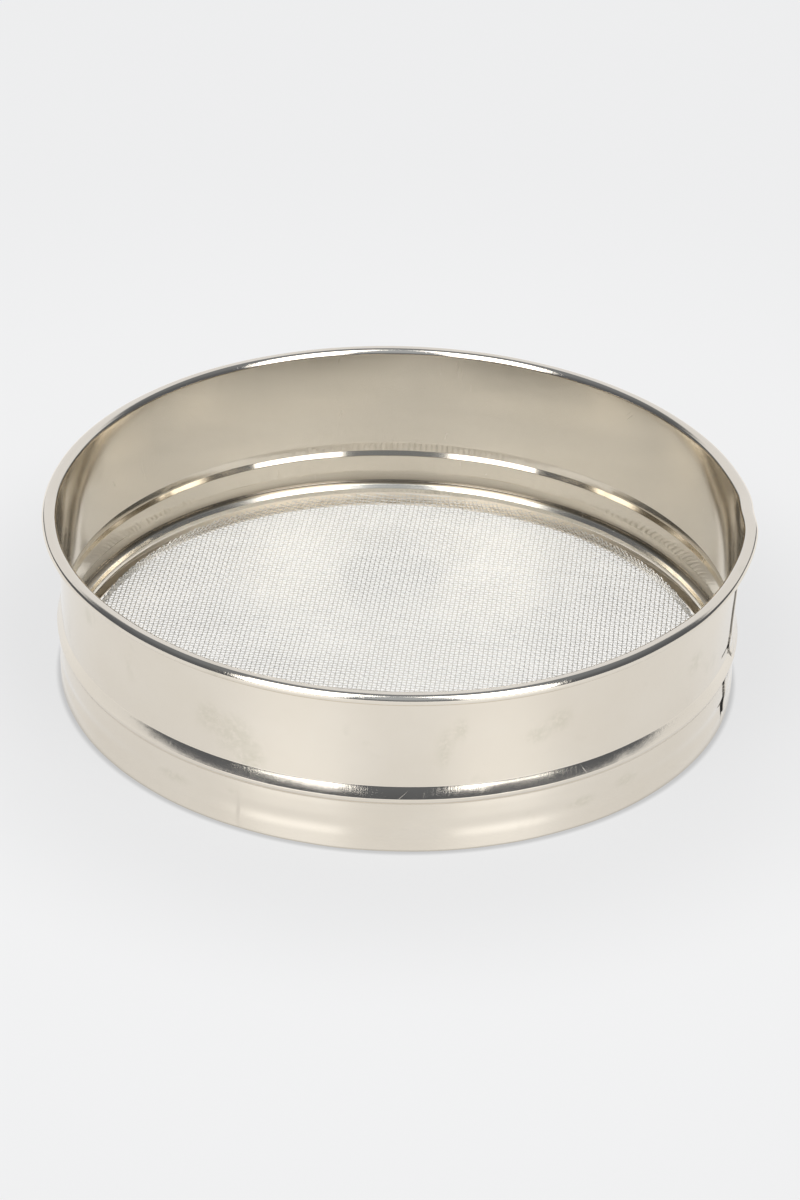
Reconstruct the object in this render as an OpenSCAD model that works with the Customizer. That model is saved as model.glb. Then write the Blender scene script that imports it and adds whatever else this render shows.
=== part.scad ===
// Drum sieve: a sheet steel drum with a rolled rim, a wire cloth floor and
// the ring that clamps the cloth. Millimetres, +Z up, origin at the middle of
// the base. The cloth is drawn as a coarse net: each strand stands for a band
// of fine wires of the same weight.

/* [Drum] */
// Outside diameter of the upper wall, below its flare
drum_d = 190.2; // [150:0.2:260]
// Height from the base to the top of the rim
drum_h = 51.4; // [46:0.2:90]
// Thickness of the drum's sheet
sheet_t = 0.5; // [0.4:0.05:0.6]
// How far the skirt below the bead stands out from the upper wall
skirt_out = 0.6; // [0.2:0.1:1.5]
// Width of the foot, the base edge turned inward
foot_w = 3.3; // [2:0.1:4]
// Outside radius of the bend between the foot and the skirt
foot_bend = 0.8; // [0.7:0.1:2]

/* [Rim] */
// Radial width of the rolled rim
rim_w = 4.1; // [3:0.1:6]
// Height of the rolled rim
rim_h = 3.5; // [2:0.1:5]
// How far the wall flares out below the roll
flare_out = 1.3; // [0.5:0.1:3]
// Height of the flared part of the wall
flare_h = 14; // [8:0.5:20]

/* [Bead] */
// Height of the crease under the bead
bead_z = 15.4; // [13.5:0.1:20]
// How far the bead stands out from the skirt
bead_out = 0.9; // [0.4:0.1:2]
// Height of the bead's short lower flank
bead_lower = 1.7; // [1.2:0.1:3]
// Height of the bead's long upper flank
bead_upper = 3.5; // [2.5:0.1:5]
// Radius that rounds the bead
bead_round = 0.7; // [0.3:0.1:1]

/* [Clamp ring] */
// Height of the ring's lower edge
ring_z = 4.5; // [4.2:0.1:6]
// Height of the ring
ring_h = 5.9; // [5:0.1:7]
// How far the ring's lower edge stands in from the skirt's inside
ring_in = 2.9; // [2.5:0.1:5]
// Thickness of the ring's strip
ring_t = 0.5; // [0.4:0.05:0.8]
// Length of the ring's overlapped end
lap_l = 12; // [6:1:30]
// Direction of the overlap round the drum, in degrees
lap_turn = -116; // [-180:1:180]
// Height of the groove that is rolled into the skirt round the ring
groove_h = 6.8; // [5:0.1:8]
// Depth of the groove
groove_d = 0.35; // [0.1:0.05:0.5]

/* [Seam] */
// Direction of the seam's line in the upper wall, in degrees
seam_turn = -11.5; // [-60:0.5:180]
// Turn from that line to the seam's slit in the skirt, in degrees
slit_turn = -6; // [-10:0.5:10]
// Width of the fold on the drum's inside
fold_w = 6; // [3:0.5:10]
// How far the fold stands in from the wall
fold_in = 0.9; // [0.5:0.1:1.5]
// Width of the seam's line and slit on the outside
line_w = 0.35; // [0.2:0.05:0.8]
// Depth of the seam's line and slit
line_d = 0.25; // [0.1:0.05:0.3]

/* [Cloth] */
// Height of the cloth's middle layer above the base
cloth_z = 1.5; // [1.2:0.1:2]
// Distance from the skirt's inside to the bend where the cloth turns up
border_w = 5.6; // [5:0.1:8]
// Distance between two strands
pitch = 10.5; // [10.4:0.1:16]
// Width of a strand
strand_w = 1; // [0.6:0.1:2]
// Thickness of a strand
strand_t = 0.28; // [0.2:0.02:0.3]
// Turn of the net in the drum, in degrees
cloth_turn = -5.3; // [-45:0.1:45]

/* [Clearances] */
// Gap between two pieces that are clamped together
fit_gap = 0.04; // [0.02:0.01:0.1]

/* [Hidden] */
$fn = 128;
arc_steps = 6;
curve_steps = 12;
curl_steps = 20;

// Radii of the drum's outside, and heights along it
wall_r = drum_d / 2;
skirt_r = wall_r + skirt_out;
mouth_r = wall_r + flare_out;
skirt_in_r = skirt_r - sheet_t;
foot_in_r = skirt_r - foot_w;
bead_top = bead_z + bead_lower + bead_upper;
groove_z = ring_z + ring_h / 2 - groove_h / 2;

// The roll is an ellipse, hollow inside, that starts where the wall meets it
// and ends just short of the wall again
roll_a = rim_w / 2;
roll_b = rim_h / 2;
roll_c = [mouth_r - sheet_t + roll_a, drum_h - roll_b];
roll_start = 175;
roll_end = -125;
flare_top = roll_c.y + (roll_b - sheet_t) * sin(roll_start);
flare_r = (flare_h * flare_h + flare_out * flare_out) / (2 * flare_out);

// The cloth's turned-up edge stands between the ring and the wall
throat_r = skirt_in_r - groove_d;
edge_r = throat_r - fit_gap - strand_t - fit_gap / 2;
edge_in_r = edge_r - fit_gap / 2 - strand_t;
bend_r = skirt_in_r - border_w;
edge_z = ring_z + 1;
edge_a = atan2(edge_z - cloth_z, edge_r - bend_r);

// The ring's inner face swings from its lower edge out to the wall
ring_in_r = skirt_in_r - ring_in;
ring_flare = throat_at(ring_z + ring_h) - fit_gap - ring_t - ring_in_r;
swing_z = ring_z + 0.3;
swing_h = ring_h - 0.5;
edge_share = (edge_in_r - fit_gap - ring_t - ring_in_r) / ring_flare;
edge_top = swing_z + swing_h * (0.5 - sin(asin(1 - 2 * edge_share) / 3));

lap_a = lap_l / ring_in_r * 180 / PI;
fold_a = fold_w / wall_r * 180 / PI;
line_a = line_w / wall_r * 180 / PI;

function unit(v) = v / norm(v);
function reverse(list) = [for (i = [len(list) - 1 : -1 : 0]) list[i]];
function shift(list, by) = [for (p = list) p + by];

// Arc that rounds the corner b of the path a, b, c to radius r
function corner(a, b, c, r) =
    let (
        u = unit(a - b),
        v = unit(c - b),
        half = acos(u * v) / 2,
        m = b + unit(u + v) * r / sin(half),
        p = b + u * r / tan(half) - m,
        q = b + v * r / tan(half) - m,
        from = atan2(p.y, p.x),
        turn = (atan2(q.y, q.x) - from + 540) % 360 - 180
    )
    [for (i = [0 : arc_steps]) m + r * [cos(from + turn * i / arc_steps), sin(from + turn * i / arc_steps)]];

// Arc of an ellipse with half-axes a and b
function oval(c, a, b, from, to) =
    [for (i = [0 : curl_steps]) let (t = from + (to - from) * i / curl_steps) c + [a * cos(t), b * sin(t)]];

// Depth of the rolled groove at height z, and the skirt's inside there
function groove_at(z) =
    z < groove_z || z > groove_z + groove_h ? 0 : groove_d * (1 - cos(360 * (z - groove_z) / groove_h)) / 2;
function throat_at(z) = skirt_in_r - groove_at(z);

// Outside radius of the upper wall at height z
function wall_at(z) =
    let (up = max(0, z - flare_top + flare_h)) wall_r + flare_r - sqrt(flare_r * flare_r - up * up);

// Radius of the ring's inner face at height z
function swing(u) = u <= 0 ? 0 : u >= 1 ? 1 : u * u * (3 - 2 * u);
function ring_at(z) = ring_in_r + ring_flare * swing((z - swing_z) / swing_h);

// The drum's outside from the groove up to the roll
function groove_side() =
    [for (i = [0 : curve_steps]) let (z = groove_z + groove_h * i / curve_steps) [skirt_r - groove_at(z), z]];
function bead_side() =
    let (
        crease = [skirt_r, bead_z],
        top = [skirt_r + bead_out, bead_z + bead_lower],
        root = [wall_r, bead_top]
    )
    concat(
        corner([skirt_r, groove_z + groove_h], crease, top, bead_round / 3),
        corner(crease, top, root, bead_round),
        corner(top, root, [wall_r, drum_h], bead_round)
    );
function wall_side(from, to) =
    [for (i = [0 : curve_steps]) let (z = from + (to - from) * i / curve_steps) [wall_at(z), z]];
function drum_side() = concat(groove_side(), bead_side(), wall_side(flare_top - flare_h, flare_top));

// Path of the cloth's section, moved up and in by off from its middle layer
function cloth_path(off) = [
    [bend_r - off * tan(edge_a / 2), cloth_z + off],
    [edge_r - off, edge_z + off * tan((90 - edge_a) / 2)],
    [edge_r - off, edge_top]
];

// Section of the whole drum sheet, from the foot up over the roll and back
module drum_section() {
    hollow = oval(roll_c, roll_a - sheet_t, roll_b - sheet_t, roll_start, roll_end);
    skin = oval(roll_c, roll_a, roll_b, roll_end, roll_start);
    polygon(concat(
        [[foot_in_r, 0]],
        corner([foot_in_r, 0], [skirt_r, 0], [skirt_r, groove_z], foot_bend),
        drum_side(),
        hollow,
        skin,
        reverse(shift(drum_side(), [-sheet_t, 0])),
        corner([skirt_in_r, groove_z], [skirt_in_r, sheet_t], [foot_in_r, sheet_t], foot_bend - sheet_t),
        [[foot_in_r, sheet_t]]
    ));
}

// Band of section that follows the upper wall, between two depths from its outside
module wall_band(from, to, shallow, deep) {
    side = wall_side(from, to);
    polygon(concat(shift(side, [-shallow, 0]), reverse(shift(side, [-deep, 0]))));
}

// The fold's extra layers on the inside, beside the seam's line and trimmed
// back from the bead and the roll
module seam_fold() {
    rotate(seam_turn - fold_a)
        rotate_extrude(angle = fold_a)
            wall_band(bead_top + 2, flare_top - 3, sheet_t / 2, sheet_t + fold_in);
}

// The seam's line on the outside of the upper wall
module seam_line() {
    rotate(seam_turn - line_a / 2)
        rotate_extrude(angle = line_a)
            wall_band(bead_top + 1, flare_top - 1, -sheet_t, line_d);
}

// The slit that carries the seam on through the skirt
module seam_slit() {
    rotate(seam_turn + slit_turn - line_a / 2)
        rotate_extrude(angle = line_a)
            translate([skirt_r - line_d, groove_z + 0.3])
                square([sheet_t + line_d, bead_z - groove_z - 1]);
}

module drum_wall() {
    color([0.85, 0.83, 0.78])
        difference() {
            union() {
                rotate_extrude() drum_section();
                seam_fold();
            }
            seam_line();
            seam_slit();
        }
}

// Section of the ring's strip, moved in by the depth given
module ring_section(depth) {
    face = [
        for (i = [0 : curve_steps])
            let (z = ring_z + ring_h * i / curve_steps)
            [ring_at(z) - depth, z]
    ];
    polygon(concat(face, reverse(shift(face, [ring_t, 0]))));
}

module clamp_ring() {
    color([0.74, 0.71, 0.65]) {
        rotate_extrude() ring_section(0);
        rotate(lap_turn - lap_a / 2)
            rotate_extrude(angle = lap_a) ring_section(ring_t * 0.9);
    }
}

// One layer of the cloth as a thin pan, between two offsets from its middle
module cloth_pan(from, to) {
    low = cloth_path(from);
    high = cloth_path(to);
    rotate_extrude()
        polygon(concat([[0, low[0].y]], low, reverse(high), [[0, high[0].y]]));
}

// Strands along Y, one pitch apart and even about the middle
module strands() {
    count = floor((edge_in_r - strand_w) / pitch);
    for (i = [-count : count])
        translate([i * pitch - strand_w / 2, -edge_r - 1, 0])
            cube([strand_w, 2 * edge_r + 2, edge_top + 1]);
}

module weft_wires() {
    color([0.90, 0.89, 0.86])
        intersection() {
            cloth_pan(-fit_gap / 2 - strand_t, -fit_gap / 2);
            rotate(cloth_turn + 90) strands();
        }
}

module warp_wires() {
    color([0.80, 0.79, 0.76])
        intersection() {
            cloth_pan(fit_gap / 2, fit_gap / 2 + strand_t);
            rotate(cloth_turn) strands();
        }
}

drum_wall();
clamp_ring();
weft_wires();
warp_wires();
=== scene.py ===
# Drum sieve for flour and pastry: a polished steel drum, a woven wire cloth and the ring that clamps it.
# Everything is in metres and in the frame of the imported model, with the drum standing on z = 0.
import math

import bpy
import numpy as np
from mathutils import Matrix, Vector


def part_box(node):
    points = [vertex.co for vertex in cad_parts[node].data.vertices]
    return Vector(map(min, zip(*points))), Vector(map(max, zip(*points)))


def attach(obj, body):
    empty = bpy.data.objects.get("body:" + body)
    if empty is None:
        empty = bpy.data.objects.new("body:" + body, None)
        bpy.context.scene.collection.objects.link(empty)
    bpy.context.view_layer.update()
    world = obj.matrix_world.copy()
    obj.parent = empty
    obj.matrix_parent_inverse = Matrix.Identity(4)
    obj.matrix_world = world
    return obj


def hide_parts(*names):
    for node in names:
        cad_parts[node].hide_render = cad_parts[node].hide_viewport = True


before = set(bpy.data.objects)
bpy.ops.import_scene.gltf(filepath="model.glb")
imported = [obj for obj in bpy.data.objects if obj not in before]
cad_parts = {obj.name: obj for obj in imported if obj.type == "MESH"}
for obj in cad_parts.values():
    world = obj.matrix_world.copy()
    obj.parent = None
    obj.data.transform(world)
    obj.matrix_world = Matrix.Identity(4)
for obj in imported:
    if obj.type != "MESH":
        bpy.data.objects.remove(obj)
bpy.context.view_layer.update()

# Drum wall. One strip of polished stainless sheet, rolled into a drum and closed by a folded seam.
# The same sheet forms the round roll of the rim, the gentle outward lean below it, the outward bead, the
# skirt with its shallow groove, and the narrow foot. Rolls form it, so its section runs all the way round.
mm = 0.001
drum_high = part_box("drum_wall")[1]
rim_r = drum_high.x
drum_h = drum_high.z
sheet_t = 0.5 * mm
rim_w, rim_h = 4.1 * mm, 3.5 * mm
lean_out, lean_h = 1.3 * mm, 25 * mm
wall_r = rim_r - rim_w - lean_out + sheet_t
skirt_out, foot_w, foot_bend = 0.6 * mm, 3.3 * mm, 0.8 * mm
skirt_r = wall_r + skirt_out
foot_in_r = skirt_r - foot_w
bead_z, bead_lower, bead_upper = 15.4 * mm, 1.7 * mm, 3.5 * mm
bead_out, bead_round = 0.7 * mm, 0.7 * mm
bead_belly = 0.015 * mm
groove_z, groove_h, groove_d = 4.05 * mm, 6.8 * mm, 0.35 * mm

# directions round the drum are in degrees from +X: the fold of the seam, and the ring's overlap
fold_az, fold_width = -11.5, 3.6
lap_az = -115.6


def smooth(t):
    """A step from 0 to 1 with soft ends, as t goes from 0 to 1."""
    t = np.clip(t, 0, 1)
    return t * t * (3 - 2 * t)


def bump(x, middle, half):
    """A smooth hump of height 1 round the middle, nothing past half a width away."""
    return smooth(1 - abs(x - middle) / half)


def unit(v):
    return v / np.hypot(*v)


def corner(a, b, c, radius, steps):
    """Points that round the corner b of the path a, b, c, with one more held close to each end."""
    a, b, c = (np.array(p, float) for p in (a, b, c))
    u, v = unit(a - b), unit(c - b)
    half = math.acos(float(u @ v)) / 2
    reach = radius / math.tan(half)
    middle = b + unit(u + v) * radius / math.sin(half)
    p, q = b + u * reach - middle, b + v * reach - middle
    start = math.atan2(p[1], p[0])
    turn = (math.atan2(q[1], q[0]) - start + 3 * math.pi) % (2 * math.pi) - math.pi
    angles = [start + turn * i / steps for i in range(steps + 1)]
    arc = [middle + radius * np.array([math.cos(t), math.sin(t)]) for t in angles]
    hold = 0.12 * mm
    return [b + u * (reach + hold), *arc, b + v * (reach + hold)]


def oval(middle, a, b, start, end, steps):
    """Points on an oval from one angle to another, in degrees."""
    angles = np.radians(np.linspace(start, end, steps + 1))
    return [np.array([middle[0] + a * math.cos(t), middle[1] + b * math.sin(t)]) for t in angles]


roll_mid = (wall_r + lean_out - sheet_t + rim_w / 2, drum_h - rim_h / 2)
roll_start, roll_end = 175, -125
lean_top = roll_mid[1] + (rim_h / 2 - sheet_t) * math.sin(math.radians(roll_start))
lean_curve_r = (lean_h**2 + lean_out**2) / (2 * lean_out)


def wall_at(z):
    """Outside radius of the upper wall at height z: upright at first, then leaning out in one arc."""
    up = max(0.0, z - lean_top + lean_h)
    return wall_r + lean_curve_r - math.sqrt(lean_curve_r**2 - up**2)


def groove_at(z):
    """Depth of the skirt's groove at height z."""
    inside = groove_z < z < groove_z + groove_h
    return groove_d * (1 - math.cos(2 * math.pi * (z - groove_z) / groove_h)) / 2 if inside else 0.0


def drum_outside():
    """The sheet's outer face from the foot's edge up to the roll, as points (radius, height)."""
    crease = (skirt_r, bead_z)
    apex = (skirt_r + bead_out, bead_z + bead_lower)
    bead_top = bead_z + bead_lower + bead_upper
    root = (wall_r, bead_top)
    path = [np.array([foot_in_r, 0.0])]
    path += corner((foot_in_r, 0), (skirt_r, 0), (skirt_r, bead_z), foot_bend, 6)
    groove_rows = np.linspace(groove_z, groove_z + groove_h, 12)
    skirt_rows = np.linspace(groove_z + groove_h, bead_z - mm, 4)[1:]
    path += [np.array([skirt_r - groove_at(z), z]) for z in groove_rows]
    path += [np.array([skirt_r, z]) for z in skirt_rows]
    path += corner((skirt_r, 0), crease, apex, bead_round / 3, 3)
    path += corner(crease, apex, root, bead_round, 5)
    flank = np.array(root) - np.array(apex)
    square = unit(np.array([flank[1], -flank[0]]))
    for t in np.linspace(0.2, 0.8, 7):
        path += [np.array(apex) + flank * t + square * bead_belly * 4 * t * (1 - t)]
    path += corner(apex, root, (wall_r, drum_h), bead_round, 4)
    seam_rows = np.arange(22.3, 24.4, 0.3) * mm
    wall_rows = np.linspace(24.9 * mm, lean_top, 19)
    path += [np.array([wall_at(z), z]) for z in [*seam_rows, *wall_rows]]
    return np.array(path)


def inner_face(path):
    """The path moved in by the sheet's thickness, square to itself."""
    along = np.gradient(path, axis=0)
    along /= np.hypot(along[:, 0], along[:, 1])[:, None]
    return path + sheet_t * np.stack([-along[:, 1], along[:, 0]], 1)


outside = drum_outside()
inside = inner_face(outside)
hollow = oval(roll_mid, rim_w / 2 - sheet_t, rim_h / 2 - sheet_t, roll_start, roll_end, 8)
skin = oval(roll_mid, rim_w / 2, rim_h / 2, roll_end, roll_start, 38)
section = np.array([*outside, *hollow, *skin, *inside[::-1]])
row_is_inside = np.arange(len(section)) >= len(outside) + len(hollow) + len(skin)
row_is_outside = np.arange(len(section)) < len(outside)


def columns():
    """Directions round the drum in degrees, closer together at the seam and at the ring's lap."""
    even = np.arange(-180, 180, 1.0)
    seam = np.arange(-20.5, -9.5, 0.15)
    lap = np.arange(-118, -112, 0.3)
    return np.unique(np.round(np.concatenate([even, seam, lap]), 4))


az = columns()
turns = np.radians(az)[:, None]
radius = section[:, 0][None, :]
height = section[:, 1][None, :]
dice = np.random.default_rng(7)


def waves(count, lowest, highest, size, rise):
    """Gentle waves round the drum whose phase drifts with height, as rolling leaves them in thin sheet."""
    total = 0
    for _ in range(count):
        n = dice.integers(lowest, highest)
        phase, drift = dice.uniform(0, 2 * math.pi), dice.normal(0, 1 / rise)
        total = total + size / n * np.sin(n * turns + phase + drift * height)
    return total


relief = waves(count=14, lowest=5, highest=40, size=0.16 * mm, rise=9 * mm)

# where the drum was knocked flatter: middle and half width in degrees, then in millimetres the depth, the
# height where it starts and the height over which it deepens; the last two are beside the seam
dents = [(-42, 34, 0.9, 12, 30), (-138, 30, 0.4, 12, 30), (-19, 19, 0.75, 36, 11), (2.5, 6, 0.5, 45, 3)]
for where, half, deep, start, over in dents:
    relief = relief - deep * mm * bump(az[:, None], where, half) * smooth((height - start * mm) / (over * mm))

# nicks along the bead, where the rolls have marked the sheet
nick_count, nick_depth = 26, 0.05 * mm
bead_band = bump(height, bead_z + bead_lower, 2.5 * mm)
for _ in range(nick_count):
    where, wide, deep = dice.uniform(-180, 180), dice.uniform(0.5, 1.3), dice.normal(0, nick_depth)
    relief = relief + deep * bump(az[:, None], where, wide) * bead_band

# the end of the ring's overlap shows through the skirt as a small step with a shallow hollow before it
lap_step_d = 0.13 * mm
past_lap = az[:, None] - lap_az
lap_step = np.where(past_lap > 0, smooth(1 - past_lap / 9), -0.45 * smooth(1 + past_lap / 4))
relief = relief + lap_step_d * lap_step * bump(height, 6 * mm, 8 * mm) * smooth(height / (1.5 * mm))


def near_line(points, half):
    """1 on the line through points (direction in degrees, height), falling to 0 at half a width from it."""
    across, up = az[:, None] * math.pi / 180 * wall_r, height
    least = np.full(np.broadcast(across, up).shape, 1.0)
    for (a0, z0), (a1, z1) in zip(points, points[1:]):
        x0, x1 = (a * math.pi / 180 * wall_r for a in (a0, a1))
        dx, dz = x1 - x0, z1 - z0
        t = np.clip(((across - x0) * dx + (up - z0) * dz) / (dx * dx + dz * dz), 0, 1)
        least = np.minimum(least, np.hypot(across - x0 - t * dx, up - z0 - t * dz))
    return smooth(1 - least / half)


def raised_edge(points, rise):
    """The sheet past the line through points stands proud, with a sharp edge that faces the line."""
    end_fade, edge_w, spread = 0.8 * mm, 0.25 * mm, 13 * mm
    where, heights = (np.array(v) for v in zip(*points[::-1]))
    past = (az[:, None] - np.interp(height, heights, where)) * math.pi / 180 * wall_r
    ends = smooth((height - heights[0]) / end_fade) * smooth((heights[-1] - height) / end_fade)
    return rise * smooth(past / edge_w + 0.5) * smooth(1 - past / spread) * ends


# the seam: the lapped edge of the sheet stands proud of a thin dark line, which splits over the bead
# and goes on as a slit in the skirt that opens towards its foot
seam_top = [(-11.0, 49 * mm), (-11.6, 38 * mm), (-13.0, 26 * mm), (-14.4, 23 * mm), (-12.8, 18.6 * mm)]
seam_branch = [(-14.4, 23 * mm), (-18.5, 23.3 * mm)]
seam_slit = [(-18.4, 16.6 * mm), (-17.1, 8.8 * mm), (-17.2, 7.9 * mm)]
seam_mouth = [(-17.2, 8.2 * mm), (-18.0, 4.6 * mm)]
seam_rise = raised_edge(seam_top, 0.4 * mm)
slit_rise = raised_edge([*seam_slit, seam_mouth[1]], 0.45 * mm)
relief = relief + (seam_rise + slit_rise) * row_is_outside
# the seam's line is painted near-black: dirt in the joint together with painted shade
dark_seam_and_crease_shade = 0.62 * near_line(seam_top, 0.85 * mm) + 0.75 * near_line(seam_branch, 0.8 * mm)
dark_seam_and_crease_shade = dark_seam_and_crease_shade + 0.8 * near_line(seam_slit, 0.65 * mm) + near_line(seam_mouth, 1.2 * mm)

# the crease below the bead is darkened and sunk a little too: painted shade in the crease
dark_seam_and_crease_shade = dark_seam_and_crease_shade + 0.4 * bump(height, bead_z - 0.1 * mm, 0.26 * mm)
dark_seam_and_crease_shade = np.clip(dark_seam_and_crease_shade, 0, 1) * row_is_outside
gap_d = 0.25 * mm
relief = relief - gap_d * dark_seam_and_crease_shade

# the hooked layers of the seam stand in from the wall on the inside
fold_in, fold_low, fold_high, fold_fade = 0.9 * mm, 22.5 * mm, 47.5 * mm, 1.5 * mm
fold = smooth((fold_width / 2 + 0.2 - abs(az[:, None] - fold_az + fold_width / 2)) / 0.4)
fold = fold * smooth((height - fold_low) / fold_fade) * smooth((fold_high - height) / fold_fade)
relief = relief - fold_in * fold * row_is_inside


# a fold of more than this many degrees stays sharp
sharp_fold = 50


def round_mesh(name, az, radius, height, attributes):
    """A closed section carried round the drum: one column of points for each direction.

    The UV map gives each point's distance round the drum and along the section, in metres.
    """
    turns = np.radians(az)[:, None]
    grid = np.stack(np.broadcast_arrays(radius * np.cos(turns), radius * np.sin(turns), height), -1)
    n, m = grid.shape[:2]
    i, j = np.meshgrid(np.arange(n), np.arange(m), indexing="ij")
    i2, j2 = (i + 1) % n, (j + 1) % m
    quads = np.stack([i * m + j, i2 * m + j, i2 * m + j2, i * m + j2], -1).reshape(-1, 4)
    mesh = bpy.data.meshes.new(name)
    mesh.from_pydata(grid.reshape(-1, 3).tolist(), [], quads.tolist())
    around = np.append(np.radians(az), math.radians(az[0]) + 2 * math.pi) * wall_r
    outline = np.stack([radius[0], height[0]])
    step = np.hypot(*(np.roll(outline, -1, 1) - outline))
    up = np.append(0, np.cumsum(step))
    uv = np.stack([
        np.stack([around[i], up[j]], -1), np.stack([around[i + 1], up[j]], -1),
        np.stack([around[i + 1], up[j + 1]], -1), np.stack([around[i], up[j + 1]], -1)], -2)
    layer = mesh.uv_layers.new(name="Sheet")
    layer.data.foreach_set("uv", uv.reshape(-1).astype(np.float32))
    for label, values in attributes.items():
        made = mesh.attributes.new(label, "FLOAT", "POINT")
        made.data.foreach_set("value", np.broadcast_to(values, (n, m)).reshape(-1).astype(np.float32))
    mesh.shade_smooth()
    mesh.set_sharp_from_angle(angle=math.radians(sharp_fold))
    piece = bpy.data.objects.new(name, mesh)
    bpy.context.scene.collection.objects.link(piece)
    return piece


# where the rolls worked the sheet hardest, over the bead and on the rim, it keeps fine upright lines
row_is_skin = ~row_is_inside & (np.arange(len(section)) >= len(outside) + len(hollow))
rolled = bump(height, bead_z + bead_lower + 1.2 * mm, 4.2 * mm) * row_is_outside + 0.35 * row_is_skin

# behind the ring, low on the inside, the sheet was never polished
sheltered = smooth((6.0 * mm - height) / (1.5 * mm))

# dried smears left by hands: direction in degrees, height, half width and half height in millimetres
smears = [
    (-116.5, 29, 7, 7), (-113.5, 22.5, 5, 4), (-121, 32, 5, 5), (-82, 32, 2.2, 7),
    (-79.6, 38, 2.5, 4), (-62.8, 36, 4.5, 4), (-66.5, 33, 4, 3), (-49, 9.8, 4.5, 2.5),
    (-58, 8, 5, 2), (-128, 9, 6, 2), (-31, 33, 5, 4),
]
stain = 0 * relief
for where, up, wide, tall in smears:
    aside = (az[:, None] - where) * math.pi / 180 * wall_r / (wide * mm)
    stain = np.maximum(stain, smooth(1.25 - np.hypot(aside, (height - up * mm) / (tall * mm))))
stain = stain * row_is_outside
# the inside faces above the sheltered zone take a darker copy of the sheet's colour: painted shade for the
# inside of the drum
drum_masks = {
    "dark_seam_and_crease_shade": dark_seam_and_crease_shade, "inner": row_is_inside * (1 - sheltered), "rolled": rolled, "stain": stain,
    "sheltered": row_is_inside * sheltered,
}
drum = round_mesh("drum_wall_sheet", az, radius + relief, height + 0 * relief, drum_masks)


def feed(tree, socket, value):
    """Links the socket to another node's output, or gives it a value of its own."""
    if isinstance(value, bpy.types.NodeSocket):
        tree.links.new(value, socket)
    else:
        socket.default_value = value


def add(tree, kind, **settings):
    """A shader node with its own settings, and its sockets' values or links, by name."""
    node = tree.nodes.new(kind)
    for key, value in settings.items():
        if hasattr(node, key):
            setattr(node, key, value)
        else:
            feed(tree, node.inputs[key.replace("_", " ")], value)
    return node


def math_node(tree, operation, *values, clamp=False):
    node = tree.nodes.new("ShaderNodeMath")
    node.operation, node.use_clamp = operation, clamp
    for socket, value in zip(node.inputs, values):
        feed(tree, socket, value)
    return node.outputs[0]


def ramp(tree, value, low, high, to_low=0.0, to_high=1.0):
    """The value from low to high carried to another range, with smooth ends."""
    node = tree.nodes.new("ShaderNodeMapRange")
    node.interpolation_type = "SMOOTHSTEP"
    tree.links.new(value, node.inputs["Value"])
    for label, number in (("From Min", low), ("From Max", high), ("To Min", to_low), ("To Max", to_high)):
        node.inputs[label].default_value = number
    return node.outputs["Result"]


def stretch(tree, vector, scale, turn=0.0):
    node = tree.nodes.new("ShaderNodeMapping")
    tree.links.new(vector, node.inputs["Vector"])
    node.inputs["Scale"].default_value = scale
    node.inputs["Rotation"].default_value = (0, 0, turn)
    return node.outputs["Vector"]


def noise(tree, vector, scale, detail=3.0, roughness=0.5):
    node = tree.nodes.new("ShaderNodeTexNoise")
    tree.links.new(vector, node.inputs["Vector"])
    node.inputs["Scale"].default_value = scale
    node.inputs["Detail"].default_value = detail
    node.inputs["Roughness"].default_value = roughness
    return node.outputs["Fac"]


def mix_colour(tree, factor, first, second):
    node = tree.nodes.new("ShaderNodeMix")
    node.data_type = "RGBA"
    sockets = (node.inputs["Factor"], node.inputs[6], node.inputs[7])
    for socket, value in zip(sockets, (factor, first, second)):
        feed(tree, socket, (*value, 1.0) if isinstance(value, tuple) else value)
    return node.outputs[2]


def mask(tree, name):
    """A value that the piece's mesh holds at each of its points."""
    return add(tree, "ShaderNodeAttribute", attribute_name=name).outputs["Fac"]


def new_group(name, inputs, outputs):
    """An empty shader node group with float and vector sockets; returns it with its two end nodes."""
    tree = bpy.data.node_groups.new(name, "ShaderNodeTree")
    for label, value in inputs:
        kind = "NodeSocketVector" if value is None else "NodeSocketFloat"
        socket = tree.interface.new_socket(name=label, in_out="INPUT", socket_type=kind)
        if value is not None:
            socket.default_value = value
    for label in outputs:
        tree.interface.new_socket(name=label, in_out="OUTPUT", socket_type="NodeSocketFloat")
    return tree, tree.nodes.new("NodeGroupInput").outputs, tree.nodes.new("NodeGroupOutput").inputs


def use_group(tree, group, **values):
    node = tree.nodes.new("ShaderNodeGroup")
    node.node_tree = group
    for key, value in values.items():
        feed(tree, node.inputs[key.replace("_", " ")], value)
    return node.outputs


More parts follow.
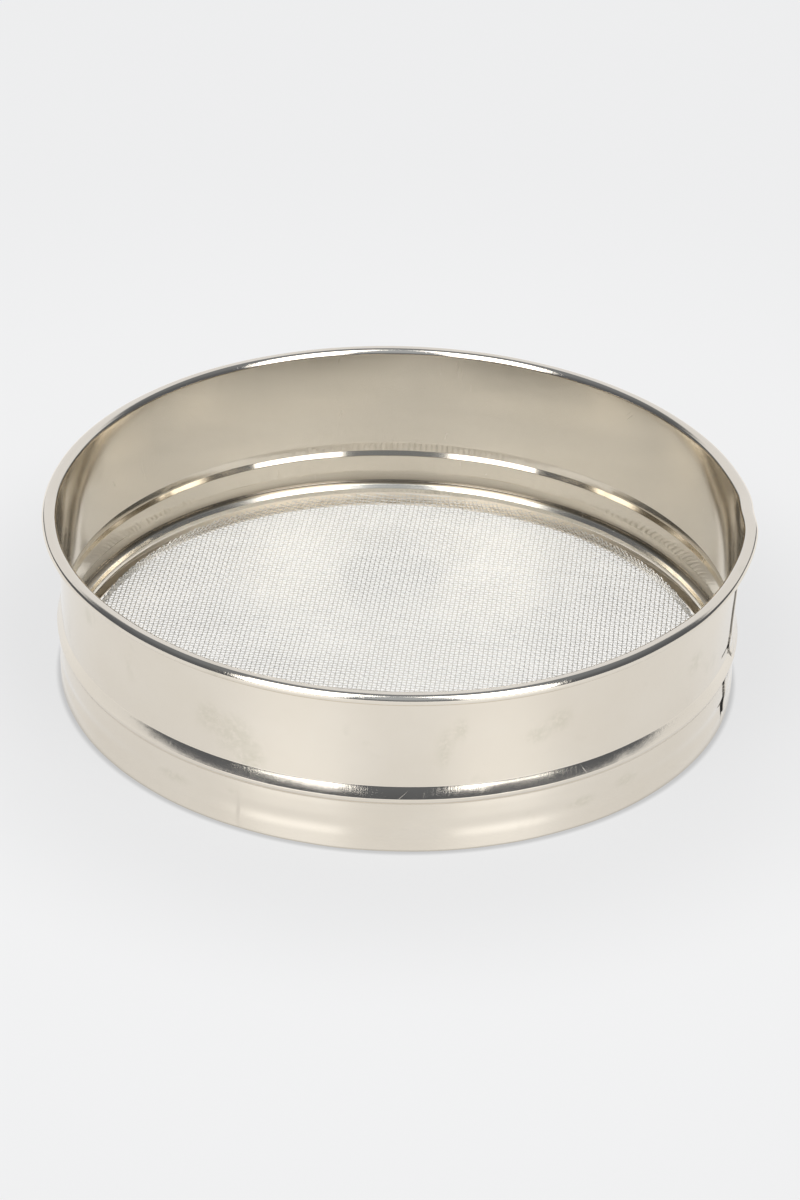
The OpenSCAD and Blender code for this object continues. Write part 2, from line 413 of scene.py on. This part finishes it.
def hairline_scratches():
    """Short fine scratches in two directions, gently curved, as wiping and stacking leave them."""
    tree, given, out = new_group("hairline scratches", [("Vector", None), ("Spacing", 90.0)], ["Mask"])
    bend = add(tree, "ShaderNodeTexNoise", Vector=given["Vector"], Scale=60.0, Detail=1.0)
    swirl = add(tree, "ShaderNodeVectorMath", operation="MULTIPLY_ADD")
    tree.links.new(bend.outputs["Color"], swirl.inputs[0])
    swirl.inputs[1].default_value = (0.02, 0.02, 0.0)
    tree.links.new(given["Vector"], swirl.inputs[2])

    # noise drawn out along each direction, of which only the highest ridges are kept
    masks = []
    for turn in (0.5, -0.9):
        lines = stretch(tree, swirl.outputs[0], (1.0, 0.045, 1.0), turn)
        scaled = add(tree, "ShaderNodeVectorMath", operation="SCALE")
        tree.links.new(lines, scaled.inputs[0])
        tree.links.new(math_node(tree, "MULTIPLY", given["Spacing"], 22.0), scaled.inputs["Scale"])
        masks.append(ramp(tree, noise(tree, scaled.outputs[0], 1.0, 1.0), 0.70, 0.76))
    either = math_node(tree, "MAXIMUM", *masks)
    patches = ramp(tree, noise(tree, given["Vector"], 70.0, 2.0), 0.56, 0.66)
    tree.links.new(math_node(tree, "MULTIPLY", either, patches), out["Mask"])
    return tree


def handling_marks():
    """Faint blots and wiping streaks from hands and cloths."""
    inputs = [("Vector", None), ("Blot Scale", 55.0)]
    tree, given, out = new_group("handling marks", inputs, ["Blots", "Haze"])

    # blots are broken up by streaks that run upwards; the haze is a broad cloud over all
    large = add(tree, "ShaderNodeTexNoise", Vector=given["Vector"], Scale=given["Blot Scale"], Detail=4.0)
    tall = stretch(tree, given["Vector"], (1.7, 0.8, 1.0))
    streaks = noise(tree, tall, 190.0, 3.0)
    blots = ramp(tree, large.outputs["Fac"], 0.62, 0.74)
    tree.links.new(math_node(tree, "MULTIPLY", blots, ramp(tree, streaks, 0.3, 0.62)), out["Blots"])
    tree.links.new(ramp(tree, noise(tree, given["Vector"], 22.0, 5.0, 0.6), 0.35, 0.7), out["Haze"])
    return tree


scratches_group = hairline_scratches()
marks_group = handling_marks()


def new_material(name):
    """A material with its node tree and its Principled shader."""
    made = bpy.data.materials.new(name)
    made.use_nodes = True
    shader = made.node_tree.nodes["Principled BSDF"]
    return made, made.node_tree, shader


bright_sheet, hazy_sheet = (0.775, 0.712, 0.613), (0.80, 0.741, 0.647)
# the inside's colour is a darker copy of the bright sheet: painted shade
shaded_inside_sheet = (0.668, 0.611, 0.517)
blot_colour, smear_colour = (0.62, 0.58, 0.47), (0.56, 0.53, 0.41)
seam_dirt_and_shade_colour = (0.03, 0.028, 0.026)


def polished_steel():
    """Bright sheet with a warm tint. The seam's line is dark with dirt and painted shade, the crease below
    the bead and the inside faces carry painted shade, and faint marks dull the polish.
    """
    made, tree, shader = new_material("polished drum steel")
    sheet = add(tree, "ShaderNodeUVMap", uv_map="Sheet").outputs["UV"]
    marks = use_group(tree, marks_group, Vector=sheet, Blot_Scale=55.0)
    scratch = use_group(tree, scratches_group, Vector=sheet, Spacing=90.0)["Mask"]
    dark_seam_and_crease_shade_mask = mask(tree, "dark_seam_and_crease_shade")
    shaded_inside_mask = mask(tree, "inner")
    rolled_mask = mask(tree, "rolled")
    clean = mix_colour(tree, marks["Haze"], bright_sheet, hazy_sheet)
    marked = mix_colour(tree, math_node(tree, "MULTIPLY", marks["Blots"], 0.35), clean, blot_colour)
    grain = ramp(tree, noise(tree, sheet, 520.0, 4.0, 0.7), 0.3, 0.6)
    smeared = math_node(tree, "MULTIPLY", math_node(tree, "MULTIPLY", mask(tree, "stain"), grain), 0.3)
    marked = mix_colour(tree, smeared, marked, smear_colour)
    # the inside is a darker copy of the sheet: painted shade
    faced = mix_colour(tree, shaded_inside_mask, marked, shaded_inside_sheet)
    # the seam's line and the crease below the bead are darkened: dirt and painted shade
    coloured = mix_colour(tree, ramp(tree, dark_seam_and_crease_shade_mask, 0.25, 0.8), faced, seam_dirt_and_shade_colour)
    tree.links.new(coloured, shader.inputs["Base Color"])

    # what makes the polish duller, and by how much
    dull = math_node(tree, "MULTIPLY_ADD", marks["Haze"], 0.03, 0.05)
    for cause, amount in ((marks["Blots"], 0.08), (shaded_inside_mask, 0.05), (mask(tree, "sheltered"), 0.3),
                          (rolled_mask, 0.03), (scratch, 0.22)):
        dull = math_node(tree, "MULTIPLY_ADD", cause, amount, dull)
    dull = math_node(tree, "MULTIPLY_ADD", dark_seam_and_crease_shade_mask, 0.5, dull, clamp=True)
    tree.links.new(dull, shader.inputs["Roughness"])

    # the sheet is faintly streaked and scratched, and the rolls left upright lines
    broad = noise(tree, stretch(tree, sheet, (700.0, 25.0, 1.0)), 1.0, 2.0)
    height = math_node(tree, "MULTIPLY_ADD", scratch, -0.6, math_node(tree, "MULTIPLY", broad, 0.35))
    relief = add(tree, "ShaderNodeBump", Strength=0.12, Distance=0.00006, Height=height)
    upright = noise(tree, stretch(tree, sheet, (5200.0, 90.0, 1.0)), 1.0, 3.0)
    lines = add(tree, "ShaderNodeBump", Strength=1.0, Distance=0.00003,
                Height=math_node(tree, "MULTIPLY", upright, rolled_mask), Normal=relief.outputs["Normal"])
    tree.links.new(lines.outputs["Normal"], shader.inputs["Normal"])
    shader.inputs["Metallic"].default_value = 1.0
    return made


drum.data.materials.append(polished_steel())
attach(drum, "root")
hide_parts("drum_wall")

# Clamp ring. A strip of bright steel, formed with a lip, a ledge and a flange that lies on the wall, bent
# into a hoop with overlapped ends and sprung into the skirt. It presses the cloth's edge to the wall.
ring_low, ring_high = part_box("clamp_ring")
ring_z, ring_top = ring_low.z, ring_high.z
ring_in, ring_t = 2.9 * mm, 0.5 * mm
ring_in_r = skirt_r - sheet_t - ring_in
lap_length = 7.4
flange_gap = 0.12 * mm


def wall_inside(z):
    """Inside radius of the skirt at height z."""
    return skirt_r - sheet_t - groove_at(z)


# section of the strip: an upright lip, a sloping shoulder, a flat ledge, and a flange that lies on the wall
lip_top = (ring_in_r, ring_z + 1.25 * mm)
shoulder_top = (ring_in_r + 0.75 * mm, ring_z + 2.4 * mm)
ledge_z = ring_z + 2.5 * mm
ledge_end = (wall_inside(ledge_z) - flange_gap, ledge_z)
flange_rows = 14
flange = [(wall_inside(z), z) for z in np.linspace(ledge_z + 0.3 * mm, ring_top, flange_rows)]
flange_thickness = np.linspace(1.0, 0.12, flange_rows) * flange_gap
face = [
    np.array([ring_in_r, ring_z]),
    *corner((ring_in_r, ring_z), lip_top, shoulder_top, 0.3 * mm, 4),
    *corner(lip_top, shoulder_top, ledge_end, 0.5 * mm, 6),
    *corner(shoulder_top, ledge_end, flange[0], 0.12 * mm, 3),
    *[np.array([r - thick, z]) for (r, z), thick in zip(flange, flange_thickness)],
]
back = [
    (ring_in_r + ring_t, ring_z),
    (ring_in_r + ring_t, lip_top[1] - 0.2 * mm),
    (shoulder_top[0] + 0.45 * mm, shoulder_top[1] - 0.4 * mm),
    (ledge_end[0], ledge_z - 0.35 * mm),
    *flange,
]
lip = oval((ring_in_r + ring_t / 2, ring_z), ring_t / 2, ring_t / 2, -180, 0, 6)[1:-1]
ring_section = np.array([*back, *face[::-1], *lip])
off_wall = np.array([wall_inside(z) - r for r, z in ring_section])
ring_az = np.unique(np.round(np.concatenate([np.arange(-180, 180, 0.9), np.arange(-123, -108, 0.3)]), 4))
ring_radius, ring_height = ring_section[:, 0][None, :], ring_section[:, 1][None, :]
ring_turns = np.radians(ring_az)[:, None]

# the strip isn't quite round: it has slow waves, and short kinks where the rolls let go of it
ring_relief = 0.0
wave_count, wave_size = 10, 0.11 * mm
for _ in range(wave_count):
    n = dice.integers(4, 34)
    ring_relief = ring_relief + wave_size / n * np.sin(n * ring_turns + dice.uniform(0, 6.28))
kink_size, kink_half_width = 0.05 * mm, 1.6
kinks = [98.6, 62.0, 52.5, 48.2, 45.8, 26.8, *dice.uniform(-180, 180, 14)]
for where in kinks:
    ring_relief = ring_relief + dice.normal(0, kink_size) * bump(ring_az[:, None], where, kink_half_width)

# the overlapped end stands in by nearly the strip's thickness; the flange stays on the wall
overlap_in = 0.45 * mm
past_end = ring_az[:, None] - (lap_az - lap_length / 2)
overlap = smooth(past_end / 0.5) * smooth((lap_length - past_end) / 0.5)
ring_relief = (ring_relief - overlap_in * overlap) * smooth((off_wall - 0.2 * mm) / (1.2 * mm))

# the flange is as dull as the wall it lies on and takes its darker, painted-shade colour, and the ledge in
# front of
# it is painted dark: painted shade in the corner between ledge and wall
on_wall = smooth((0.3 * mm - off_wall) / (0.15 * mm))
ledge_corner_shade = smooth(1 - (ring_section[:, 1] - ledge_z) / (2.6 * mm)) * smooth((1.6 * mm - off_wall) / (1.3 * mm))
ring = round_mesh("clamp_ring_strip", ring_az, ring_radius + ring_relief, ring_height + 0 * ring_relief,
                  {"flange": on_wall, "ledge_corner_shade": ledge_corner_shade})


bright_strip_steel, hazy_strip_steel = (0.72, 0.675, 0.585), (0.78, 0.735, 0.65)
strip_blot, ledge_corner_shade_colour = (0.5, 0.46, 0.38), (0.13, 0.11, 0.09)


def bright_strip():
    """Strip steel, a little greyer and duller than the drum, with drawing lines along it. The flange and the
    corner of the ledge are darkened with painted shade.
    """
    made, tree, shader = new_material("bright ring strip")
    sheet = add(tree, "ShaderNodeUVMap", uv_map="Sheet").outputs["UV"]
    marks = use_group(tree, marks_group, Vector=sheet, Blot_Scale=90.0)
    scratch = use_group(tree, scratches_group, Vector=sheet, Spacing=120.0)["Mask"]
    lines = noise(tree, stretch(tree, sheet, (30.0, 5000.0, 1.0)), 1.0, 2.0)
    worn = mix_colour(tree, marks["Haze"], bright_strip_steel, hazy_strip_steel)
    blotted = mix_colour(tree, math_node(tree, "MULTIPLY", marks["Blots"], 0.5), worn, strip_blot)
    faced = mix_colour(tree, mask(tree, "flange"), blotted, shaded_inside_sheet)
    # painted shade in the corner between the ledge and the wall
    corner_shaded = mix_colour(tree, math_node(tree, "MULTIPLY", mask(tree, "ledge_corner_shade"), 0.6), faced, ledge_corner_shade_colour)
    tree.links.new(corner_shaded, shader.inputs["Base Color"])
    dull = math_node(tree, "MULTIPLY_ADD", lines, 0.12, 0.13)
    dull = math_node(tree, "MULTIPLY_ADD", scratch, 0.25, dull, clamp=True)
    tree.links.new(dull, shader.inputs["Roughness"])
    relief = add(tree, "ShaderNodeBump", Strength=0.15, Distance=0.00005, Height=lines)
    tree.links.new(relief.outputs["Normal"], shader.inputs["Normal"])
    shader.inputs["Metallic"].default_value = 1.0
    return made


ring.data.materials.append(bright_strip())
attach(ring, "root")
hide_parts("clamp_ring")

# Wire cloth. Plain weave of bright drawn wire: the warp runs front to back, the weft across, and each
# wire goes over one and under the next. It is cut round, and its edge is turned up between ring and wall.
warp_pitch, weft_pitch = 1.354 * mm, 1.277 * mm
wire_r = 0.15 * mm
weave_rise = 0.15 * mm
cloth_z = 1.5 * mm
cloth_turn = math.radians(-5.32)
border_w = 5.6 * mm
bend_r = skirt_r - sheet_t - border_w
edge_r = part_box("weft_wires")[1].y - wire_r
edge_z = ring_z + 1.0 * mm
edge_top = ring_z + 1.9 * mm
rise_angle = math.atan2(edge_z - cloth_z, edge_r - bend_r)
rise_length = math.hypot(edge_z - cloth_z, edge_r - bend_r)
blank_r = bend_r + rise_length + edge_top - edge_z
wire_sway, cloth_sag = 0.8 * mm, 0.5 * mm


class Fields:
    """Short names for the field nodes of one geometry tree."""

    def __init__(self, tree):
        self.tree = tree

    def node(self, kind, values=(), out=0, **settings):
        node = self.tree.nodes.new(kind)
        for key, value in settings.items():
            setattr(node, key, value)
        for key, value in dict(values).items():
            feed(self.tree, node.inputs[key], value)
        return node.outputs[out]

    def math(self, operation, *values):
        return self.node("ShaderNodeMath", enumerate(values), operation=operation)

    def vector(self, x, y, z):
        return self.node("ShaderNodeCombineXYZ", enumerate((x, y, z)))


def woven_layer():
    """Geometry tree for one layer of the cloth: a row of wavy wires, cut round and pressed into a pan."""
    tree = bpy.data.node_groups.new("woven layer", "GeometryNodeTree")
    tree.interface.new_socket(name="Wires", in_out="INPUT", socket_type="NodeSocketInt")
    for label in ("First Wire", "Spacing", "Crossing Pitch", "Wire Radius", "Weave Rise", "Blank Radius",
                  "Bend Radius", "Rise Angle", "Rise Length", "Cloth Height", "Turn", "Sway", "Sag"):
        tree.interface.new_socket(name=label, in_out="INPUT", socket_type="NodeSocketFloat")
    tree.interface.new_socket(name="Material", in_out="INPUT", socket_type="NodeSocketMaterial")
    tree.interface.new_socket(name="Geometry", in_out="OUTPUT", socket_type="NodeSocketGeometry")
    f = Fields(tree)
    given = tree.nodes.new("NodeGroupInput").outputs

    # a row of straight wires, each with a point at every crossing and one between
    half_pitch = f.math("MULTIPLY", given["Crossing Pitch"], 0.5)
    steps = f.math("ROUND", f.math("DIVIDE", given["Blank Radius"], given["Crossing Pitch"]))
    points = f.math("MULTIPLY_ADD", steps, 4.0, 1.0)
    start_y = f.math("MULTIPLY", f.math("MULTIPLY", steps, -1.0), given["Crossing Pitch"])
    line = f.node("GeometryNodeMeshLine", {
        "Count": points, "Start Location": f.vector(0.0, start_y, 0.0),
        "Offset": f.vector(0.0, half_pitch, 0.0)})
    wire = f.node("GeometryNodeMeshToCurve", {"Mesh": line})
    row = f.node("GeometryNodeMeshLine", {
        "Count": given["Wires"],
        "Start Location": f.vector(f.math("MULTIPLY", given["First Wire"], given["Spacing"]), 0.0, 0.0),
        "Offset": f.vector(given["Spacing"], 0.0, 0.0)})
    wires = f.node("GeometryNodeRealizeInstances", {
        "Geometry": f.node("GeometryNodeInstanceOnPoints", {"Points": row, "Instance": wire})})

    # the row is cut round
    place = f.node("GeometryNodeInputPosition")
    split = tree.nodes.new("ShaderNodeSeparateXYZ")
    tree.links.new(place, split.inputs[0])
    x, y = split.outputs["X"], split.outputs["Y"]
    from_middle = f.math("SQRT", f.math("ADD", f.math("MULTIPLY", x, x), f.math("MULTIPLY", y, y)))
    sizes = {0: from_middle, 1: given["Blank Radius"]}
    waste = f.node("FunctionNodeCompare", sizes, operation="GREATER_THAN")
    cut = f.node("GeometryNodeDeleteGeometry", {"Geometry": wires, "Selection": waste}, domain="POINT")

    # each wire rises and falls from crossing to crossing, a step later than its neighbour
    across, along = f.math("DIVIDE", x, given["Spacing"]), f.math("DIVIDE", y, given["Crossing Pitch"])
    order = f.math("ADD", across, along)
    lift = f.math("MULTIPLY", f.math("COSINE", f.math("MULTIPLY", order, math.pi)), given["Weave Rise"])
    turned = f.node("ShaderNodeVectorRotate", {"Vector": f.vector(x, y, 0.0), "Angle": given["Turn"]},
                    rotation_type="Z_AXIS")

    # the wires don't lie quite straight
    sway = f.node("ShaderNodeTexNoise", {"Vector": turned, "Scale": 30.0, "Detail": 1.0}, out=1)
    sway = f.node("ShaderNodeVectorMath", {0: sway, 1: (0.5, 0.5, 0.5)}, operation="SUBTRACT")
    sway = f.node("ShaderNodeVectorMath", {0: sway, "Scale": given["Sway"]}, operation="SCALE")
    swayed = f.node("ShaderNodeVectorMath", {0: turned, 1: sway}, operation="ADD")
    flat = tree.nodes.new("ShaderNodeSeparateXYZ")
    tree.links.new(swayed, flat.inputs[0])
    fx, fy = flat.outputs["X"], flat.outputs["Y"]

    # the round is pressed into a pan: flat, then a sloping border, then an upright edge
    reach = f.math("SQRT", f.math("ADD", f.math("MULTIPLY", fx, fx), f.math("MULTIPLY", fy, fy)))
    reach = f.math("MAXIMUM", reach, 1e-6)
    on_rise = f.math("MINIMUM", f.math("MAXIMUM", f.math("SUBTRACT", reach, given["Bend Radius"]), 0.0),
                     given["Rise Length"])
    on_edge = f.math("MAXIMUM", f.math("SUBTRACT", f.math("SUBTRACT", reach, given["Bend Radius"]),
                                       given["Rise Length"]), 0.0)
    in_flat = f.math("MINIMUM", reach, given["Bend Radius"])
    slope_cos, slope_sin = f.math("COSINE", given["Rise Angle"]), f.math("SINE", given["Rise Angle"])
    rises = f.math("GREATER_THAN", on_rise, 0.0)
    stands = f.math("GREATER_THAN", on_edge, 0.0)
    tilt = f.math("ADD", f.math("MULTIPLY", rises, given["Rise Angle"]),
                  f.math("MULTIPLY", stands, f.math("SUBTRACT", math.pi / 2, given["Rise Angle"])))
    out_r = f.math("SUBTRACT", f.math("MULTIPLY_ADD", on_rise, slope_cos, in_flat),
                   f.math("MULTIPLY", f.math("SINE", tilt), lift))

    # the flat part has sagged a little here and there from use, but not near its border
    settle = f.node("ShaderNodeTexNoise", {"Vector": turned, "Scale": 14.0, "Detail": 2.0})
    settle = f.math("MULTIPLY", f.math("SUBTRACT", settle, 0.5), given["Sag"])
    fade_from = f.math("MULTIPLY", given["Bend Radius"], 0.8)
    fade = f.node("ShaderNodeMapRange", {
        "Value": reach, "From Min": fade_from, "From Max": given["Bend Radius"],
        "To Min": 1.0, "To Max": 0.0})
    settle = f.math("MULTIPLY", settle, fade)
    out_z = f.math("ADD", f.math("MULTIPLY_ADD", on_rise, slope_sin, given["Cloth Height"]),
                   f.math("ADD", on_edge, f.math("MULTIPLY_ADD", f.math("COSINE", tilt), lift, settle)))
    scale = f.math("DIVIDE", out_r, reach)
    final = f.vector(f.math("MULTIPLY", fx, scale), f.math("MULTIPLY", fy, scale), out_z)
    pressed = f.node("GeometryNodeSetPosition", {"Geometry": cut, "Position": final})

    # the lines become wires with five sides, since there are hundreds of them
    profile = f.node("GeometryNodeCurvePrimitiveCircle", {"Resolution": 5, "Radius": given["Wire Radius"]})
    tubes = f.node("GeometryNodeCurveToMesh", {"Curve": pressed, "Profile Curve": profile, "Fill Caps": True})
    shaded = f.node("GeometryNodeSetShadeSmooth", {"Geometry": tubes})
    real = f.node("GeometryNodeRealizeInstances", {"Geometry": shaded})
    done = f.node("GeometryNodeSetMaterial", {"Geometry": real, "Material": given["Material"]})
    end = tree.nodes.new("NodeGroupOutput")
    tree.links.new(done, end.inputs[0])
    return tree


bright_wire, worn_wire = (0.735, 0.716, 0.675), (0.675, 0.657, 0.618)


def drawn_wire():
    """Bright drawn stainless wire: satin from drawing, and a little darker where it is worn."""
    made, tree, shader = new_material("bright drawn wire")
    place = add(tree, "ShaderNodeTexCoord").outputs["Object"]
    patches = noise(tree, place, 45.0, 4.0)
    fine = noise(tree, place, 1500.0, 2.0)
    coloured = mix_colour(tree, ramp(tree, patches, 0.35, 0.7), worn_wire, bright_wire)
    tree.links.new(coloured, shader.inputs["Base Color"])
    tree.links.new(math_node(tree, "MULTIPLY_ADD", fine, 0.12, 0.35), shader.inputs["Roughness"])
    shader.inputs["Metallic"].default_value = 1.0
    return made


weave_tree = woven_layer()
wire_material = drawn_wire()


def weave(name, wires, first, spacing, crossing, rise, turn):
    """Runs the tree for a run of wires and returns the result as a plain mesh object."""
    holder = bpy.data.objects.new(name, bpy.data.meshes.new(name))
    bpy.context.scene.collection.objects.link(holder)
    modifier = holder.modifiers.new("weave", "NODES")
    modifier.node_group = weave_tree
    values = {
        "Wires": wires, "First Wire": float(first), "Spacing": spacing, "Crossing Pitch": crossing,
        "Wire Radius": wire_r, "Weave Rise": rise, "Blank Radius": blank_r, "Bend Radius": bend_r,
        "Rise Angle": rise_angle, "Rise Length": rise_length, "Cloth Height": cloth_z, "Turn": turn,
        "Sway": wire_sway, "Sag": cloth_sag, "Material": wire_material,
    }
    sockets = {s.name: s.identifier for s in weave_tree.interface.items_tree if s.in_out == "INPUT"}
    for label, value in values.items():
        modifier[sockets[label]] = value
    bpy.context.view_layer.update()
    evaluated = holder.evaluated_get(bpy.context.evaluated_depsgraph_get())
    mesh = bpy.data.meshes.new_from_object(evaluated)
    mesh.name = name
    holder.modifiers.remove(modifier)
    holder.data = mesh
    return holder


# each layer is made in two halves, since a whole one would be too heavy for one mesh
warp_half = math.floor(blank_r / warp_pitch)
weft_half = math.floor(blank_r / weft_pitch)
warp = ("warp_wires", warp_pitch, weft_pitch, weave_rise, cloth_turn)
weft = ("weft_wires", weft_pitch, warp_pitch, -weave_rise, cloth_turn + math.pi / 2)
runs = [
    ("warp_wires_left", warp_half, -warp_half, warp), ("warp_wires_right", warp_half + 1, 0, warp),
    ("weft_wires_front", weft_half, -weft_half, weft), ("weft_wires_back", weft_half + 1, 0, weft),
]
for name, wires, first, (node, spacing, crossing, rise, turn) in runs:
    cloth = weave(name, wires, first, spacing, crossing, rise, turn)
    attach(cloth, "root")
    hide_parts(node)

# Table, studio light and camera. A pale table with a slight sheen, a pale backdrop behind it, a dark
# studio round the rest, and two tall soft panels left and right of the camera that lean over the table.
floor_mesh = bpy.data.meshes.new("table_top")
floor_half = 12.0
floor_corners = [(-1, -1), (1, -1), (1, 1), (-1, 1)]
floor_mesh.from_pydata([(x * floor_half, y * floor_half, 0) for x, y in floor_corners], [], [(0, 1, 2, 3)])
floor = bpy.data.objects.new("table_top", floor_mesh)
bpy.context.scene.collection.objects.link(floor)
floor_material, tree, shader = new_material("pale table")
# the colours round the foot and in its contact line are painted shadow; the glow under the cloth is painted
# light
table_low, table_high, table_in_foot_shadow = (0.785, 0.785, 0.785), (0.8, 0.8, 0.8), (0.64, 0.64, 0.645)
glow_near, glow_far, glow_in_foot_shadow = (0.75, 0.75, 0.752), (0.72, 0.72, 0.722), (0.7, 0.7, 0.702)
glow_in_contact_shadow, glow_of_light_under_cloth = (0.2, 0.2, 0.2), (0.87, 0.862, 0.845)
table_place = add(tree, "ShaderNodeTexCoord").outputs["Object"]
table_colour = mix_colour(tree, noise(tree, table_place, 9.0, 3.0), table_low, table_high)
apart = add(tree, "ShaderNodeVectorMath", operation="LENGTH")
tree.links.new(table_place, apart.inputs[0])
off_middle = apart.outputs["Value"]

# painted shadow makes the table a little darker round the drum's foot and dark in the line where the foot
# stands, and painted light makes it light where the lamps reach it through the cloth; the distances are from
# the drum's axis
foot_shadow = math_node(tree, "MULTIPLY", ramp(tree, off_middle, 0.08, 0.095),
                      ramp(tree, off_middle, 0.1, 0.17, 1.0, 0.0))
foot_contact_shadow = math_node(tree, "MULTIPLY", ramp(tree, off_middle, 0.0945, 0.0955),
                      ramp(tree, off_middle, 0.0957, 0.0974, 0.45, 0.0))
# painted light: the table glows brighter under the cloth
light_under_cloth = ramp(tree, off_middle, 0.0925, 0.0955, 1.0, 0.0)
table_colour = mix_colour(tree, foot_shadow, table_colour, table_in_foot_shadow)
glow = mix_colour(tree, ramp(tree, off_middle, 0.16, 0.36), glow_near, glow_far)
glow = mix_colour(tree, foot_shadow, glow, glow_in_foot_shadow)
glow = mix_colour(tree, foot_contact_shadow, glow, glow_in_contact_shadow)
glow = mix_colour(tree, light_under_cloth, glow, glow_of_light_under_cloth)
tree.links.new(glow, shader.inputs["Emission Color"])

# The camera and the steel's reflections see the table mostly by a plain glow of its own, so that it is as
# even as a studio sweep. All other light meets a matt surface with a sheen and spreads on to the object.
glow_share, table_sheen = 0.85, 0.5
ray = add(tree, "ShaderNodeLightPath").outputs
seen = math_node(tree, "MAXIMUM", ray["Is Camera Ray"],
                 math_node(tree, "MAXIMUM", ray["Is Glossy Ray"], ray["Is Transmission Ray"]))
matt = mix_colour(tree, math_node(tree, "MULTIPLY", seen, glow_share), table_colour, (0.0, 0.0, 0.0))
tree.links.new(matt, shader.inputs["Base Color"])
tree.links.new(seen, shader.inputs["Emission Strength"])
sheen = math_node(tree, "MULTIPLY", math_node(tree, "SUBTRACT", 1.0, ray["Is Camera Ray"]), table_sheen)
tree.links.new(sheen, shader.inputs["Specular IOR Level"])
shader.inputs["Roughness"].default_value = 0.4
floor_mesh.materials.append(floor_material)

# each panel stands at this distance, and reaches this far down and up from the line to the sieve
panel_distance = 10.0
panel_low, panel_high = -3.79, 12.7


def soft_panel(name, side, lean, inner, outer, power):
    """A soft panel that faces the sieve from a direction in degrees: to the side of the camera, and up.

    Its two upright edges, inner and outer, are that many metres to the right of the direction.
    """
    lamp = bpy.data.lights.new(name, "AREA")
    lamp.shape, lamp.energy = "RECTANGLE", power
    lamp.size, lamp.size_y = abs(outer - inner), panel_high - panel_low
    a, e = math.radians(side), math.radians(lean)
    across = Vector((math.cos(a), math.sin(a), 0))
    up = Vector((-math.sin(a) * math.sin(e), math.cos(a) * math.sin(e), math.cos(e)))
    out = across.cross(up)
    place = out * panel_distance + across * (inner + outer) / 2 + up * (panel_low + panel_high) / 2
    made = bpy.data.objects.new(name, lamp)
    made.matrix_world = Matrix.Translation(place) @ Matrix((across, up, out)).transposed().to_4x4()
    made.visible_camera = False
    bpy.context.scene.collection.objects.link(made)


soft_panel("panel_left", side=-15.5, lean=28.5, inner=0, outer=-5.85, power=1050)
soft_panel("panel_right", side=20.5, lean=28.3, inner=0, outer=5.5, power=980)

# The room that the steel mirrors: dark, with a pale backdrop behind the sieve whose upper edge falls away
# to the sides, and paler zones above the camera and overhead. Its angles are in radians: up from the
# horizon, and away from the direction straight behind the sieve.
dark_room, pale_room, backdrop_colour = (0.118, 0.127, 0.145), (0.45, 0.49, 0.545), (0.87, 0.885, 0.925)
world = bpy.data.worlds.new("studio")
bpy.context.scene.world = world
world.use_nodes = True
sky = world.node_tree
direction = add(sky, "ShaderNodeTexCoord").outputs["Generated"]
parts = sky.nodes.new("ShaderNodeSeparateXYZ")
sky.links.new(direction, parts.inputs[0])
rise = math_node(sky, "ARCSINE", parts.outputs["Z"])
off_back = math_node(sky, "ARCTAN2", math_node(sky, "ABSOLUTE", parts.outputs["X"]), parts.outputs["Y"])
upper_edge = math_node(sky, "MULTIPLY_ADD", off_back, -0.6, 1.19)
lower_edge = math_node(sky, "ADD", ramp(sky, off_back, 0.35, 0.65, -0.2, 0.17),
                       ramp(sky, off_back, 0.85, 1.15, 0.0, 0.3))
backdrop = math_node(sky, "MULTIPLY", ramp(sky, math_node(sky, "SUBTRACT", upper_edge, rise), -0.1, 0.1),
                     ramp(sky, math_node(sky, "SUBTRACT", rise, lower_edge), -0.05, 0.05))

# the backdrop ends sooner on the right
right_end = math_node(sky, "MULTIPLY", ramp(sky, off_back, 1.1, 1.35),
                      ramp(sky, parts.outputs["X"], -0.1, 0.1))
backdrop = math_node(sky, "MULTIPLY", backdrop, math_node(sky, "SUBTRACT", 1.0, right_end))

# the paler zones, and a haze that thickens upwards
by_camera = math_node(sky, "MULTIPLY", ramp(sky, off_back, 2.27, 2.62), ramp(sky, rise, 0.05, 0.65))
ceiling = math_node(sky, "MULTIPLY", ramp(sky, off_back, 1.4, 1.8), ramp(sky, rise, 0.8, 1.35))
haze = ramp(sky, rise, 0.4, 1.3, 0.0, 0.35)
lighter = math_node(sky, "MAXIMUM", haze, math_node(sky, "MAXIMUM", by_camera, ceiling))
sky_colour = mix_colour(sky, lighter, dark_room, pale_room)
sky_colour = mix_colour(sky, backdrop, sky_colour, backdrop_colour)
sky.links.new(sky_colour, sky.nodes["Background"].inputs["Color"])

# the camera's place in metres and its aim in radians, found from the outlines of the rim and the base
camera_place = Vector((0.0, -0.95480, 0.58937))
camera_down, camera_roll, camera_yaw = 0.5369, 0.0278, 0.0006
camera_data = bpy.data.cameras.new("camera")
camera_data.lens, camera_data.sensor_width = 117.62, 36
camera = bpy.data.objects.new("camera", camera_data)
camera.matrix_world = (
    Matrix.Translation(camera_place) @ Matrix.Rotation(-camera_yaw, 4, "Z")
    @ Matrix.Rotation(math.pi / 2 - camera_down, 4, "X") @ Matrix.Rotation(camera_roll, 4, "Z"))
bpy.context.scene.collection.objects.link(camera)
bpy.context.scene.camera = camera
bpy.context.scene.view_settings.view_transform = "Standard"
